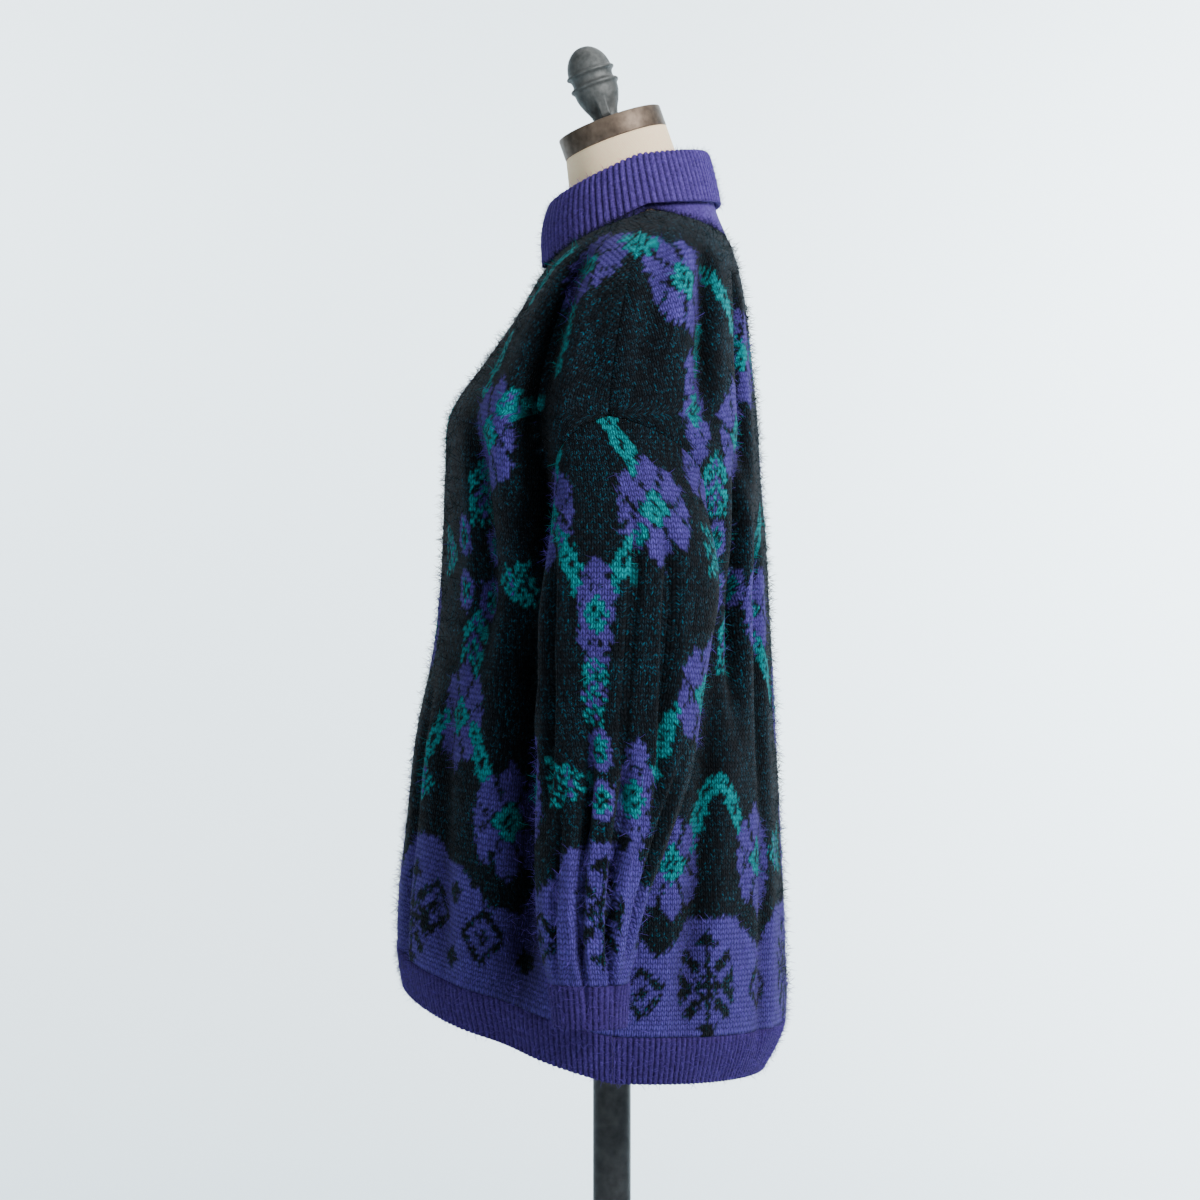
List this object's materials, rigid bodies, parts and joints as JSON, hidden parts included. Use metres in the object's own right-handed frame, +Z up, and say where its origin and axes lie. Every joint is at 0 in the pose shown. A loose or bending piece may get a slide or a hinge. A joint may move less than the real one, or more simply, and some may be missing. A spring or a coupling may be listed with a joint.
{
  "type": "mohair turtleneck sweater on a limbless dress form with a round stand",
  "caption": "Loose drop-shoulder mohair turtleneck with a turned-down ribbed collar and a floral knit, worn on a limbless linen dress form with a finial and a round iron stand.",
  "frame": {"origin": "centre of the stand base's lower face, on the floor", "axes": "+Z up; the wearer faces -Y; +X to the wearer's left"},
  "size_m": [0.5709, 0.4, 1.5461],
  "materials": {
    "mohair_ground": "brushed mohair knit, matt with a soft halo",
    "mohair_purple": "ribbed mohair knit, matt with a soft halo",
    "linen": "plain woven linen, matt",
    "brushed_bronze": "brushed and darkened",
    "cast_iron": "rough grey casting",
    "dark_iron": "black satin"
  },
  "bodies": {
    "root": {"front": "mohair_ground", "back": "mohair_ground", "front_hem_rib": "mohair_purple", "back_hem_rib": "mohair_purple", "sleeve_left": "mohair_ground", "sleeve_right": "mohair_ground", "cuff_left": "mohair_purple", "cuff_right": "mohair_purple", "collar": "mohair_purple", "torso": "linen", "neck_cap": "brushed_bronze", "finial": "cast_iron", "stand_pole": "dark_iron", "stand_base": "dark_iron"}
  },
  "joints": []
}
